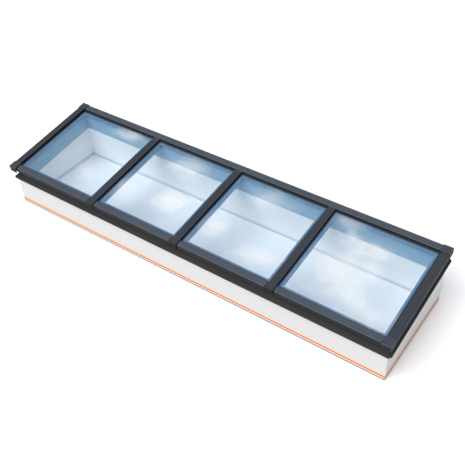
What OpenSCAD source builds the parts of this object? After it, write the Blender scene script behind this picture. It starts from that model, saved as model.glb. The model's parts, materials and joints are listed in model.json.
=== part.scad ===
// Mono-pitched rooflight: four linked glazed modules on an insulated kerb.
// X runs along the row of modules, Y from the low front edge to the high back edge, Z is up.
// The origin is the centre of the footprint, on the roof.

/* [Overall] */
// Distance between the centre lines of neighbouring glazing bars
module_pitch = 1000; // [700:10:1300]
// Distance from an outer glazing bar's centre line to the face of the corner caps
end_reach = 1090; // [700:10:1400]
// Length up the slope, over the corner caps
slope_length = 1106; // [800:2:1600]
// Angle of the glass to the horizontal, in degrees
pitch = 8; // [5:1:15]
// Height of the front edge of the glazing covers above the roof
front_height = 450; // [400:5:700]

/* [Kerb] */
// Setback of the kerb's outer face behind the edge of the corner caps
kerb_inset = 30; // [26:1:40]
// Thickness of the white outer facing sheet
facing_t = 3; // [2:0.5:6]
// Thickness of the insulation boards
insulation_t = 49; // [30:1:70]
// Thickness of the white inner lining board
lining_t = 12; // [9:1:18]
// Depth of the head rails that carry the glazing frames
rail_h = 129; // [80:1:150]

/* [Base] */
// Thickness of the grey gasket that beds the kerb on the roof
base_gasket_h = 12; // [6:1:20]
// How far the base gasket stands out past the kerb
base_gasket_lip = 2; // [0:0.5:4]
// Height of the timber sole plates
sole_h = 40; // [36:1:60]
// Height of the bare step at the foot of the sole plates
sole_step_h = 12; // [8:1:20]
// Setback of the sole plates' inner face behind the lining
sole_setback = 6; // [0:1:10]
// Height of the orange sealing tape
tape_h = 22; // [10:1:26]
// Radius of the anchor holes in the sole plates
anchor_r = 5; // [4:0.5:8]
// Distance of the end anchor holes from the ends of the kerb
anchor_end = 200; // [100:10:400]

/* [Glazing frame] */
// Setback of the frame's outer face behind the edge of the corner caps
frame_inset = 48; // [44:1:56]
// Width of each frame profile
frame_w = 46; // [40:1:60]
// Width of the frame profile's upstand beside the glass
upstand_w = 12; // [10:1:16]
// Depth of the frame profile below the glass ledge
ledge_h = 38; // [30:1:60]
// Width of the sealed joint between two modules
module_joint = 12; // [8:1:20]

/* [Glass] */
// Depth of the glass surface below the tops of the bar covers
glass_drop = 24; // [22:1:40]
// Thickness of the outer pane
outer_pane_t = 6; // [4:1:8]
// Width of the sealed cavity between the panes
cavity_t = 16; // [12:1:20]
// Thickness of the laminated inner pane
inner_pane_t = 8; // [6:1:12]
// Clearance between the edges of the glass and the upstand
glass_clear = 4; // [2:1:6]
// Setback of the spacer behind the edge of the glass
spacer_back = 4; // [2:1:8]
// How far the spacer shows past the frame profile
spacer_show = 8; // [0:1:12]
// Thickness of the glazing gaskets
gasket_t = 4; // [3:1:6]
// Width of the glazing gaskets
gasket_w = 17; // [12:1:20]
// Thickness of the pressure plates
plate_t = 6; // [4:1:8]

/* [Covers] */
// Sheet thickness of the covers
cover_t = 2; // [1.5:0.5:3]
// Outer radius of the covers' folds
fold_r = 3.5; // [3:0.5:6]
// Width of the eaves covers, from the front edge of the corner caps
eaves_w = 72; // [68:1:80]
// Width of the back cover, from the back edge of the corner caps
back_w = 68; // [66:1:80]
// Width of the verge covers, from the end face of the corner caps
verge_w = 75; // [68:1:82]
// Width of the bar covers
bar_cover_w = 76; // [64:1:100]
// Depth of the covers' outer legs
cover_leg = 62; // [50:1:66]
// Width of the return at the foot of the outer legs
cover_return = 9; // [6:1:10]
// Drop of the eaves covers below the bar covers
eaves_drop = 4; // [2:0.5:8]
// Setback of the eaves covers behind the front edge of the corner caps
eaves_back = 15; // [4:0.5:16]
// How far the bar covers' front ends stand back from the caps' edge
bar_back = 8; // [0:1:10]
// Open joint between a cover's end and the next piece
cover_gap = 8; // [4:1:12]
// Sheet thickness of the corner caps
cap_t = 3; // [2:0.5:4]
// Height of the corner caps' undersides above the bar covers
cap_rise = 5; // [0:1:10]
// Width of the corner caps, along the row
cap_w = 85; // [80:1:110]
// Depth of the corner caps, up the slope
cap_d = 80; // [74:1:100]

/* [Fascia and skirt] */
// Setback of the fascia's outer nose behind the edge of the corner caps
fascia_inset = 26; // [26:1:32]
// Height of the fascia
fascia_h = 52; // [44:1:54]
// Sheet thickness of the skirt flashing
skirt_t = 2; // [1.5:0.5:3]
// Drop of the skirt's slope from the frame to the drip edge
skirt_fall = 41; // [30:1:60]
// Depth of the skirt's drip edge
skirt_lip = 10; // [6:1:16]
// Width of the clipped corner of the skirt
skirt_clip = 15; // [6:1:30]

/* [Screws] */
// Radius of the pressure plate screws
plate_screw_r = 2.5; // [2:0.5:3]
// Length of the pressure plate screws
plate_screw_l = 30; // [20:1:40]
// Radius of the frame screws
frame_screw_r = 3; // [2.5:0.5:3.5]
// Length of the frame screws
frame_screw_l = 125; // [110:1:150]
// Distance of the outer screws from the ends of a bar
screw_end = 120; // [90:5:200]
// Distance of the plate screws from the middle of a module
plate_screw_x = 300; // [150:10:320]
// Distance of the frame screws from the middle of a module
frame_screw_x = 200; // [100:10:240]

/* [Hidden] */
$fn = 32;

// Finishes
cover_grey = [0.31, 0.34, 0.38];
edge_grey = [0.20, 0.20, 0.21];
frame_blue = [0.62, 0.70, 0.77];
kerb_white = [0.94, 0.94, 0.94];
timber = [0.80, 0.68, 0.48];
tape_orange = [1.00, 0.53, 0.10];
gasket_grey = [0.55, 0.54, 0.53];
rubber_black = [0.08, 0.08, 0.08];
metal_grey = [0.72, 0.73, 0.75];
foam_yellow = [0.93, 0.88, 0.66];
glass_blue = [0.55, 0.72, 0.85, 0.4];

// Half of the length over the corner caps
half_l = module_pitch + end_reach;
// Number of modules, and of the bars between them
modules = 4;
bars = modules - 1;
// A length larger than the whole rooflight
far = 4 * half_l;

// Outer radius of the corner caps' folds
cap_r = fold_r + 1;

// Levels, measured square to the glass from the tops of the bar covers
level_glass = -glass_drop;
level_cavity = level_glass - outer_pane_t;
level_inner = level_cavity - cavity_t;
level_unit = level_inner - inner_pane_t;
level_ledge = level_unit - gasket_t;
level_frame = level_ledge - ledge_h;
level_plate = level_glass + gasket_t;
level_rail = level_frame - rail_h;

// Joint left between two strips that meet at a corner
corner_gap = 0.3;

// Fascia: its top laps up inside the covers, its foot is just above the skirt's fold
fascia_lap = 10;
fascia_top = fascia_lap - cover_leg;
fascia_foot = fascia_top - fascia_h;
// Thickness of the fascia, up to the skirt's upstand
fascia_t = frame_inset - skirt_t - fascia_inset;
// Outline of the fascia's grooved face, as shares of its thickness and of its height
fascia_face = [
    [0, 0], [0, 0.32], [0.25, 0.38], [0.25, 0.46], [0.4, 0.52],
    [0.4, 0.66], [0.65, 0.74], [0.65, 0.86], [0.9, 1]
];

// Skirt: its upstand starts below the covers, and the slanted leg falls from the fold at the
// frame to the drip edge
skirt_hang = 4;
fascia_gap = 1;
skirt_top = -cover_leg - skirt_hang;
skirt_fold = fascia_foot - fascia_gap;
skirt_edge = skirt_fold - skirt_fall;
skirt_foot = skirt_edge - skirt_lip;
// Clear space kept between the skirt and the kerb below it
skirt_clear = 1;

// Kerb wall, and its plan
wall_t = facing_t + insulation_t + lining_t;
kerb_front_y = slope_y(0, level_frame) + kerb_inset;
kerb_back_y = slope_y(slope_length, level_frame) - kerb_inset;
kerb_half_x = half_l - kerb_inset;
sole_top = base_gasket_h + sole_h;
tape_z = base_gasket_h + sole_step_h;
facing_z = tape_z + tape_h;

// The footprint's middle goes to the origin
front_reach = slope_y(cap_r, cap_rise + cap_t - cap_r) - cap_r;
back_reach = slope_y(slope_length, skirt_foot);
middle_y = (front_reach + back_reach) / 2;

// Screw heads and holes
plate_head_r = 5;
plate_head_h = 3;
frame_head_r = 4;
frame_head_h = 4;
screw_clear = 0.2;
head_sink = 1;
frame_head_level = level_plate - head_sink;
// Distance of the frame screws from the plate screws, along the verges
verge_screw_step = 80;

// Distance up the slope and level to distance from the front edge, and height
function slope_y(s, n) = s * cos(pitch) - n * sin(pitch);

// Bar centre lines, 1 to 3 from the left
function bar_x(bar) = (bar - 2) * module_pitch;
// Outer faces of the frame of module i, 1 to 4 from the left
function frame_left(i) = i == 1 ? -half_l + frame_inset : bar_x(i - 1) + module_joint / 2;
function frame_right(i) = i == modules ? half_l - frame_inset : bar_x(i) - module_joint / 2;
function module_x(i) = (frame_left(i) + frame_right(i)) / 2;
// Clear span of module i between the end pieces, which are this far in from the caps or bars
function span_left(i, end_in, bar_in) = i == 1 ? -half_l + end_in : bar_x(i - 1) + bar_in;
function span_right(i, end_in, bar_in) = i == modules ? half_l - end_in : bar_x(i) - bar_in;

// Screw positions along a bar, up the slope
bar_screw_s = [screw_end, slope_length / 2, slope_length - screw_end];
verge_frame_screw_s = [screw_end + verge_screw_step, slope_length - screw_end - verge_screw_step];
// Middle of the upstand, in from the caps' edge
upstand_mid = frame_inset + upstand_w / 2;

// The sloping frame of reference: X along the row, Y up the slope, Z square to the glass
module slope() {
    translate([0, -middle_y, front_height]) rotate([pitch, 0, 0]) children();
}

// Extrudes a section drawn in (Y, Z) along X
module along_x(x0, x1) {
    translate([x0, 0, 0]) rotate([90, 0, 90]) linear_extrude(x1 - x0) children();
}

// Extrudes a section drawn in (X, Z) along Y
module along_y(y0, y1) {
    translate([0, y1, 0]) rotate([90, 0, 0]) linear_extrude(y1 - y0) children();
}

// Places a section drawn in (distance in from the caps' edge, level) on one side of the rooflight
module front_run(x0, x1) {
    along_x(x0, x1) children();
}

module back_run(x0, x1) {
    translate([0, slope_length, 0]) mirror([0, 1, 0]) along_x(x0, x1) children();
}

module left_run(s0, s1) {
    translate([-half_l, 0, 0]) along_y(s0, s1) children();
}

module right_run(s0, s1) {
    translate([half_l, 0, 0]) mirror([1, 0, 0]) along_y(s0, s1) children();
}

// The space between two levels of the sloping frame
module slope_band(low, high) {
    slope() translate([-far, -far, low]) cube([2 * far, 2 * far, high - low]);
}

// Plan of a mitred run on the front or back, with both outer corners clipped
module mitre_x(clip) {
    reach = slope_length / 2;
    translate([0, 0, -far]) linear_extrude(2 * far) polygon([
        [-half_l + clip, 0], [half_l - clip, 0], [half_l - clip / 2, clip / 2],
        [half_l - reach, reach], [-half_l + reach, reach], [-half_l + clip / 2, clip / 2]
    ]);
}

// Plan of a mitred run on the left, with both outer corners clipped
module mitre_y(clip) {
    reach = slope_length / 2;
    translate([0, 0, -far]) linear_extrude(2 * far) polygon([
        [-half_l, clip], [-half_l + clip / 2, clip / 2], [-half_l + reach, reach],
        [-half_l + clip / 2, slope_length - clip / 2], [-half_l, slope_length - clip]
    ]);
}

// ---------------------------------------------------------------- base and kerb

// A ring member along the front, from its outer face inwards, between two heights
module front_bar(x, out, deep, z0, z1) {
    translate([-x, kerb_front_y - middle_y - out, z0]) cube([2 * x, deep, z1 - z0]);
}

module back_bar(x, out, deep, z0, z1) {
    translate([-x, kerb_back_y - middle_y + out - deep, z0]) cube([2 * x, deep, z1 - z0]);
}

// A ring member along the left, which ends just short of the front and back members; they reach
// end_in in from the kerb's faces
module left_bar(end_in, out, deep, z0, z1) {
    inset = end_in + corner_gap;
    translate([-kerb_half_x - out, kerb_front_y - middle_y + inset, z0])
        cube([deep, kerb_back_y - kerb_front_y - 2 * inset, z1 - z0]);
}

module right_bar(end_in, out, deep, z0, z1) {
    mirror([1, 0, 0]) left_bar(end_in, out, deep, z0, z1);
}

gasket_deep = wall_t - sole_setback + base_gasket_lip;

module base_gaskets() {
    color(gasket_grey) difference() {
        union() {
            front_bar(kerb_half_x + base_gasket_lip, base_gasket_lip, gasket_deep, 0, base_gasket_h);
            back_bar(kerb_half_x + base_gasket_lip, base_gasket_lip, gasket_deep, 0, base_gasket_h);
            left_bar(wall_t - sole_setback, base_gasket_lip, gasket_deep, 0, base_gasket_h);
            right_bar(wall_t - sole_setback, base_gasket_lip, gasket_deep, 0, base_gasket_h);
        }
        anchor_holes();
    }
}

// Anchor holes: two at each end of the kerb and two in the middle
anchor_y = wall_t / 2;

module anchor_holes() {
    for (x = [-kerb_half_x + anchor_end, 0, kerb_half_x - anchor_end])
        for (y = [kerb_front_y + anchor_y, kerb_back_y - anchor_y])
            translate([x, y - middle_y, -1]) cylinder(r = anchor_r, h = sole_top + 2);
}

module sole_plates() {
    deep = wall_t - sole_setback;
    rebate_x = kerb_half_x - facing_t;
    color(timber) difference() {
        union() {
            front_bar(kerb_half_x, 0, deep, base_gasket_h, tape_z);
            front_bar(rebate_x, -facing_t, deep - facing_t, tape_z, sole_top);
            back_bar(kerb_half_x, 0, deep, base_gasket_h, tape_z);
            back_bar(rebate_x, -facing_t, deep - facing_t, tape_z, sole_top);
            left_bar(deep, 0, deep, base_gasket_h, tape_z);
            left_bar(deep, -facing_t, deep - facing_t, tape_z, sole_top);
            right_bar(deep, 0, deep, base_gasket_h, tape_z);
            right_bar(deep, -facing_t, deep - facing_t, tape_z, sole_top);
        }
        anchor_holes();
    }
}

module seal_tapes() {
    color(tape_orange) {
        front_bar(kerb_half_x, 0, facing_t, tape_z, facing_z);
        back_bar(kerb_half_x, 0, facing_t, tape_z, facing_z);
        left_bar(facing_t, 0, facing_t, tape_z, facing_z);
        right_bar(facing_t, 0, facing_t, tape_z, facing_z);
    }
}

// The space under the skirt that the kerb keeps clear of, all round
module under_skirt() {
    section = [
        [frame_inset + skirt_clear, 0],
        [frame_inset + skirt_clear, skirt_fold - skirt_t - skirt_clear],
        [0, skirt_edge - skirt_t - skirt_clear],
        [-skirt_lip, skirt_edge - skirt_t - skirt_clear],
        [-skirt_lip, 0]
    ];
    slope() {
        front_run(-far, far) polygon(section);
        back_run(-far, far) polygon(section);
        left_run(-far, far) polygon(section);
        right_run(-far, far) polygon(section);
    }
}

// Trims a kerb piece to the sloping head of the kerb
module below_skirt() {
    difference() {
        intersection() {
            children();
            slope_band(-far, level_frame);
        }
        under_skirt();
    }
}

module kerb_facing_front() {
    color(kerb_white) below_skirt()
        front_bar(kerb_half_x, 0, facing_t, facing_z, front_height + slope_length);
}

module kerb_facing_back() {
    color(kerb_white) below_skirt()
        back_bar(kerb_half_x, 0, facing_t, facing_z, front_height + slope_length);
}

module kerb_facing_left() {
    color(kerb_white) below_skirt()
        left_bar(facing_t, 0, facing_t, facing_z, front_height + slope_length);
}

module kerb_facing_right() {
    color(kerb_white) below_skirt()
        right_bar(facing_t, 0, facing_t, facing_z, front_height + slope_length);
}

// Trims a kerb board to the underside of the head rails
module below_rail() {
    intersection() {
        children();
        slope_band(-far, level_rail);
    }
}

module kerb_insulation() {
    color(foam_yellow) {
        below_rail()
            front_bar(kerb_half_x - facing_t, -facing_t, insulation_t, sole_top, front_height);
        below_rail() back_bar(kerb_half_x - facing_t, -facing_t, insulation_t, sole_top,
            front_height + slope_length);
        below_rail() left_bar(facing_t + insulation_t, -facing_t, insulation_t, sole_top,
            front_height + slope_length);
        below_rail() right_bar(facing_t + insulation_t, -facing_t, insulation_t, sole_top,
            front_height + slope_length);
    }
}

lining_out = -facing_t - insulation_t;

module kerb_lining_front() {
    color(kerb_white) below_rail()
        front_bar(kerb_half_x + lining_out, lining_out, lining_t, sole_top, front_height);
}

module kerb_lining_back() {
    color(kerb_white) below_rail()
        back_bar(kerb_half_x + lining_out, lining_out, lining_t, sole_top, front_height + slope_length);
}

module kerb_lining_left() {
    color(kerb_white) below_rail()
        left_bar(wall_t, lining_out, lining_t, sole_top, front_height + slope_length);
}

module kerb_lining_right() {
    color(kerb_white) below_rail()
        right_bar(wall_t, lining_out, lining_t, sole_top, front_height + slope_length);
}

// Trims a rail to its two sloping faces, and bores it for the frame screws
module as_rail() {
    difference() {
        intersection() {
            children();
            slope_band(level_rail, level_frame);
        }
        under_skirt();
        slope() at_frame_screws() screw_shaft(frame_screw_r, frame_head_level - frame_head_h,
            frame_screw_l);
    }
}

module head_rail_front() {
    color(frame_blue) as_rail() front_bar(kerb_half_x - facing_t, -facing_t, wall_t - facing_t, 0,
        front_height + slope_length);
}

module head_rail_back() {
    color(frame_blue) as_rail() back_bar(kerb_half_x - facing_t, -facing_t, wall_t - facing_t, 0,
        front_height + slope_length);
}

module head_rail_left() {
    color(frame_blue) as_rail() left_bar(wall_t, -facing_t, wall_t - facing_t, 0,
        front_height + slope_length);
}

module head_rail_right() {
    color(frame_blue) as_rail() right_bar(wall_t, -facing_t, wall_t - facing_t, 0,
        front_height + slope_length);
}

// ---------------------------------------------------------------- screws

// A plain shaft that hangs down from a level
module screw_shaft(r, top, length) {
    translate([0, 0, top - length]) cylinder(r = r, h = length);
}

// Places of the pressure plate screws
module at_plate_screws() {
    for (bar = [1 : bars], side = [-1, 1], s = bar_screw_s)
        translate([bar_x(bar) + side * (module_joint + upstand_w) / 2, s, 0]) children();
    for (x = [-half_l + upstand_mid, half_l - upstand_mid], s = bar_screw_s)
        translate([x, s, 0]) children();
    for (i = [1 : modules], side = [-1, 1], s = [upstand_mid, slope_length - upstand_mid])
        translate([module_x(i) + side * plate_screw_x, s, 0]) children();
}

// Places of the frame screws
module at_frame_screws() {
    for (x = [-half_l + upstand_mid, half_l - upstand_mid], s = verge_frame_screw_s)
        translate([x, s, 0]) children();
    for (i = [1 : modules], side = [-1, 1], s = [upstand_mid, slope_length - upstand_mid])
        translate([module_x(i) + side * frame_screw_x, s, 0]) children();
}

module plate_screws() {
    top = level_plate + plate_t;
    color(metal_grey) slope() at_plate_screws() {
        screw_shaft(plate_screw_r, top, plate_screw_l);
        screw_shaft(plate_head_r, top + plate_head_h, plate_head_h);
    }
}

module frame_screws() {
    color(metal_grey) slope() at_frame_screws() {
        screw_shaft(frame_screw_r, frame_head_level - frame_head_h, frame_screw_l);
        screw_shaft(frame_head_r, frame_head_level, frame_head_h);
    }
}

// ---------------------------------------------------------------- glazed modules

// Section of the frame profile, in from its outer face: a ledge for the glass and an upstand
module frame_section() {
    polygon([
        [0, level_frame], [frame_w, level_frame], [frame_w, level_ledge],
        [upstand_w, level_ledge], [upstand_w, level_plate], [0, level_plate]
    ]);
}

module upstand_section() {
    foot = level_ledge + corner_gap;
    translate([0, foot]) square([upstand_w, level_plate - foot]);
}

// A sill profile: it butts against the jambs and its upstand laps over their ledges
module sill(i) {
    translate([0, frame_inset, 0]) {
        inset = frame_w + corner_gap;
        lap_inset = upstand_w + corner_gap;
        along_x(frame_left(i) + inset, frame_right(i) - inset) frame_section();
        along_x(frame_left(i) + lap_inset, frame_right(i) - lap_inset) upstand_section();
    }
}

module jamb(x) {
    translate([x, 0, 0]) along_y(frame_inset, slope_length - frame_inset) frame_section();
}

module module_frame(i) {
    color(frame_blue) slope() difference() {
        union() {
            sill(i);
            translate([0, slope_length, 0]) mirror([0, 1, 0]) sill(i);
            jamb(frame_left(i));
            translate([frame_left(i) + frame_right(i), 0, 0]) mirror([1, 0, 0]) jamb(frame_left(i));
        }
        at_plate_screws() screw_shaft(plate_screw_r, level_plate + plate_t, plate_screw_l);
        at_frame_screws() {
            screw_shaft(frame_screw_r + screw_clear, level_plate, level_plate - level_frame);
            screw_shaft(frame_head_r + screw_clear, level_plate,
                level_plate - frame_head_level + frame_head_h);
        }
    }
}

// A flat layer of module i, this far in from the frame's outer faces
module layer(i, edge, top, thick) {
    translate([frame_left(i) + edge, frame_inset + edge, top - thick])
        cube([frame_right(i) - frame_left(i) - 2 * edge,
            slope_length - 2 * (frame_inset + edge), thick]);
}

// Four strips that follow the edges of module i, the side ones over the full length
module strips(i, edge, wide, top, thick) {
    x0 = frame_left(i) + edge;
    x1 = frame_right(i) - edge;
    s0 = frame_inset + edge;
    s1 = slope_length - frame_inset - edge;
    translate([x0, s0, top - thick]) cube([wide, s1 - s0, thick]);
    translate([x1 - wide, s0, top - thick]) cube([wide, s1 - s0, thick]);
    inset = wide + corner_gap;
    translate([x0 + inset, s0, top - thick]) cube([x1 - x0 - 2 * inset, wide, thick]);
    translate([x0 + inset, s1 - wide, top - thick]) cube([x1 - x0 - 2 * inset, wide, thick]);
}

glass_edge = upstand_w + glass_clear;

module inner_pane(i) {
    color(glass_blue) slope() layer(i, glass_edge, level_inner, inner_pane_t);
}

module outer_pane(i) {
    color(glass_blue) slope() layer(i, glass_edge, level_glass, outer_pane_t);
}

module spacer_frame(i) {
    edge = glass_edge + spacer_back;
    color(metal_grey) slope() strips(i, edge, frame_w + spacer_show - edge, level_cavity, cavity_t);
}

module glazing_gaskets() {
    color(rubber_black) slope() for (i = [1 : modules]) {
        strips(i, glass_edge, gasket_w, level_unit, gasket_t);
        strips(i, glass_edge, gasket_w, level_plate, gasket_t);
    }
}

module joint_seals() {
    color(rubber_black) slope() for (bar = [1 : bars])
        translate([bar_x(bar) - module_joint / 2, frame_inset, level_frame])
            cube([module_joint, slope_length - 2 * frame_inset, level_plate - level_frame]);
}

// ---------------------------------------------------------------- pressure plates

// Clearance between a plate and the legs of its cover
plate_clear = 0.5;
// End of the bar and verge plates, short of the back cover's inner leg
plate_end = slope_length - back_w - plate_clear;

module plate_holes() {
    at_plate_screws() screw_shaft(plate_screw_r + screw_clear, level_plate + plate_t + 1, plate_t + 2);
}

// Section of an edge plate, which stops at the inner leg of its cover
module edge_plate_section(cover_w) {
    translate([frame_inset, level_plate])
        square([cover_w - cover_t - plate_clear - frame_inset, plate_t]);
}

module bar_plates() {
    wide = bar_cover_w - 2 * (cover_t + plate_clear);
    color(metal_grey) slope() difference() {
        for (bar = [1 : bars])
            translate([bar_x(bar) - wide / 2, frame_inset, level_plate])
                cube([wide, plate_end - frame_inset, plate_t]);
        plate_holes();
    }
}

module edge_plates() {
    end_in = verge_w + plate_clear;
    bar_in = bar_cover_w / 2 + plate_clear;
    color(metal_grey) slope() difference() {
        union() {
            for (i = [1 : modules]) {
                x0 = span_left(i, end_in, bar_in);
                x1 = span_right(i, end_in, bar_in);
                front_run(x0, x1) edge_plate_section(eaves_w);
                back_run(frame_left(i), frame_right(i)) edge_plate_section(back_w);
            }
            left_run(frame_inset, plate_end) edge_plate_section(verge_w);
            right_run(frame_inset, plate_end) edge_plate_section(verge_w);
        }
        plate_holes();
    }
}

// ---------------------------------------------------------------- covers

// Foot of the caps' end legs, just above the pressure plates
end_leg_foot = level_plate + plate_t + plate_clear;

// A right-angled fold: a top leg and a downward leg that meet at the origin in an outer radius
module fold(top_leg, down_leg, t, r) {
    translate([r, -t]) square([top_leg - r, t]);
    translate([0, -down_leg]) square([t, down_leg - r]);
    translate([r, -r]) intersection() {
        difference() {
            circle(r);
            circle(r - t);
        }
        translate([-r, 0]) square(r);
    }
}

// A perimeter cover: an outer leg with a return at its foot, a top and a short inner leg
module cover_section(edge, width, drop) {
    top_leg = width - edge;
    translate([edge, -drop]) {
        fold(top_leg - fold_r, cover_leg - drop, cover_t, fold_r);
        translate([0, drop - cover_leg]) square([cover_return, cover_t]);
        translate([top_leg, 0]) mirror([1, 0]) fold(2 * fold_r, -level_plate - drop, cover_t, fold_r);
    }
}

module eaves_cover(i) {
    x0 = span_left(i, cap_w + cover_gap, bar_cover_w / 2 + cover_gap);
    x1 = span_right(i, cap_w + cover_gap, bar_cover_w / 2 + cover_gap);
    color(cover_grey) slope() front_run(x0, x1) cover_section(eaves_back, eaves_w, eaves_drop);
}

module back_cover() {
    color(cover_grey) slope() back_run(-half_l + cap_r, half_l - cap_r)
        cover_section(cap_t, back_w, 0);
}

module verge_cover_left() {
    color(cover_grey) slope() left_run(cap_r, slope_length - back_w - cover_t / 2)
        cover_section(cap_t, verge_w, 0);
}

module verge_cover_right() {
    color(cover_grey) slope() right_run(cap_r, slope_length - back_w - cover_t / 2)
        cover_section(cap_t, verge_w, 0);
}

// A bar cover: a channel up the slope whose front end folds down over the eaves
module bar_cover(bar) {
    half_w = bar_cover_w / 2;
    color(cover_grey) slope() translate([bar_x(bar), 0, 0]) {
        along_y(bar_back + fold_r, slope_length - back_w - cover_t / 2) for (side = [0, 1])
            mirror([side, 0]) translate([-half_w, 0]) fold(half_w, -level_plate, cover_t, fold_r);
        along_x(-half_w, half_w)
            translate([bar_back, 0]) fold(2 * fold_r, cover_leg, cover_t, fold_r);
    }
}

// A block whose outer top edge is rounded, down to a level below its top
module rounded_block(wide, deep, r) {
    translate([r, -deep]) square([wide - r, deep]);
    translate([0, -deep]) square([wide, deep - r]);
    translate([r, -r]) circle(r);
}

// A corner cap: a top with two deep legs; end_leg closes the side next to the eaves cover
module corner_cap(end_leg) {
    leg = cover_leg + cap_rise + cap_t;
    over = cap_d + cap_w;
    color(cover_grey) translate([0, 0, cap_rise + cap_t]) difference() {
        intersection() {
            along_y(0, cap_d) rounded_block(cap_w, leg, cap_r);
            along_x(0, cap_w) rounded_block(cap_d, leg, cap_r);
        }
        intersection() {
            along_y(cap_t, over) translate([cap_t, -cap_t]) rounded_block(over, leg, cap_r - cap_t);
            along_x(cap_t, end_leg ? cap_w - cap_t : over)
                translate([cap_t, -cap_t]) rounded_block(over, leg, cap_r - cap_t);
        }
        if (end_leg)
            translate([cap_t, cap_t, -2 * leg])
                cube([over, over, 2 * leg - cap_rise - cap_t + end_leg_foot]);
    }
}

module corner_cap_front_left() {
    slope() translate([-half_l, 0, 0]) corner_cap(true);
}

module corner_cap_front_right() {
    slope() mirror([1, 0, 0]) translate([-half_l, 0, 0]) corner_cap(true);
}

module corner_cap_back_left() {
    slope() translate([-half_l, slope_length, 0]) mirror([0, 1, 0]) corner_cap(false);
}

module corner_cap_back_right() {
    slope() mirror([1, 0, 0]) translate([-half_l, slope_length, 0]) mirror([0, 1, 0])
        corner_cap(false);
}

// ---------------------------------------------------------------- fascia and skirt

// A grooved face that steps back towards the frame as it goes down
module fascia_section() {
    face = [for (point = fascia_face) [point[0] * fascia_t, -point[1] * fascia_h]];
    translate([fascia_inset, fascia_top])
        polygon(concat([[fascia_t, 0]], face, [[fascia_t, -fascia_h]]));
}

// An upstand against the frame, a slanted leg and a drip edge
module skirt_section() {
    inner = frame_inset;
    outer = frame_inset - skirt_t;
    polygon([
        [inner, skirt_top], [outer, skirt_top], [outer, skirt_fold],
        [0, skirt_edge], [0, skirt_foot], [skirt_t, skirt_foot],
        [skirt_t, skirt_edge - skirt_t], [inner, skirt_fold - skirt_t]
    ]);
}

module mitred_front(clip) {
    intersection() {
        front_run(-half_l, half_l) children();
        mitre_x(clip);
    }
}

module mitred_left(clip) {
    intersection() {
        left_run(0, slope_length) children();
        mitre_y(clip);
    }
}

module fascia_front() {
    color(edge_grey) slope() mitred_front(0) fascia_section();
}

module fascia_back() {
    color(edge_grey) slope() translate([0, slope_length, 0]) mirror([0, 1, 0])
        mitred_front(0) fascia_section();
}

module fascia_left() {
    color(edge_grey) slope() mitred_left(0) fascia_section();
}

module fascia_right() {
    color(edge_grey) slope() mirror([1, 0, 0]) mitred_left(0) fascia_section();
}

module skirt_front() {
    color(edge_grey) slope() mitred_front(skirt_clip) skirt_section();
}

module skirt_back() {
    color(edge_grey) slope() translate([0, slope_length, 0]) mirror([0, 1, 0])
        mitred_front(skirt_clip) skirt_section();
}

module skirt_left() {
    color(edge_grey) slope() mitred_left(skirt_clip) skirt_section();
}

module skirt_right() {
    color(edge_grey) slope() mirror([1, 0, 0]) mitred_left(skirt_clip) skirt_section();
}

// ---------------------------------------------------------------- nodes

kerb_facing_front();
kerb_facing_back();
kerb_facing_left();
kerb_facing_right();
kerb_insulation();
kerb_lining_front();
kerb_lining_back();
kerb_lining_left();
kerb_lining_right();
head_rail_front();
head_rail_back();
head_rail_left();
head_rail_right();
sole_plates();
seal_tapes();
base_gaskets();
glazing_gaskets();
joint_seals();
bar_plates();
edge_plates();
back_cover();
verge_cover_left();
verge_cover_right();
corner_cap_front_left();
corner_cap_front_right();
corner_cap_back_left();
corner_cap_back_right();
fascia_front();
fascia_back();
fascia_left();
fascia_right();
skirt_front();
skirt_back();
skirt_left();
skirt_right();
plate_screws();
frame_screws();
for (i = [1 : modules]) {
    module_frame(i);
    inner_pane(i);
    spacer_frame(i);
    outer_pane(i);
    eaves_cover(i);
}
for (bar = [1 : bars]) {
    bar_cover(bar);
}
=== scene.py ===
"""Look of a mono-pitched rooflight: four linked glazed modules on an insulated white kerb."""

from __future__ import annotations

import json
import logging
import math
from dataclasses import dataclass, field
from enum import Enum
from typing import Any, Sequence, Union

import bpy
import numpy as np
from mathutils import Matrix, Vector

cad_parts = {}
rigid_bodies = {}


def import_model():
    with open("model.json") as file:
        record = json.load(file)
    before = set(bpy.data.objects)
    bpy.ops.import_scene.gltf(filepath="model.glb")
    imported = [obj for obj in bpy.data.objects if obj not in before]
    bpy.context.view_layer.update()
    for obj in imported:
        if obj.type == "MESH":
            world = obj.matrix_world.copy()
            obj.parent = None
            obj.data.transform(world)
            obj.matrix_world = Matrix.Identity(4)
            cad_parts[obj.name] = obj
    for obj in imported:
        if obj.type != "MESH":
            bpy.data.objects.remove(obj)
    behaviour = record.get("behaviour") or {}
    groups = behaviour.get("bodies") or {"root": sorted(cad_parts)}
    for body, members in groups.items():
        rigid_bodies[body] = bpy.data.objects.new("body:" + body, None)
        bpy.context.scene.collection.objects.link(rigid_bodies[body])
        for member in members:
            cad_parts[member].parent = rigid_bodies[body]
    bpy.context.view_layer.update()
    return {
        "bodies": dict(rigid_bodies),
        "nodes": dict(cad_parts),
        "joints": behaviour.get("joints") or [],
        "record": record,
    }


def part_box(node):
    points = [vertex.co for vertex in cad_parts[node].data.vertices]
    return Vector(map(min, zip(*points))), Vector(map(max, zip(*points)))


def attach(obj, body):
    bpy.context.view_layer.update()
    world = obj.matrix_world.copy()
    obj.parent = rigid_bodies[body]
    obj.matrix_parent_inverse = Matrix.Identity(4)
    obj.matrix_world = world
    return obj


LOG = logging.getLogger("rooflight")

Colour = tuple[float, float, float]
Triple = tuple[float, float, float]
Value = Union[float, "Wire"]


# ------------------------------------------------------------------ shader toolkit


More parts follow.
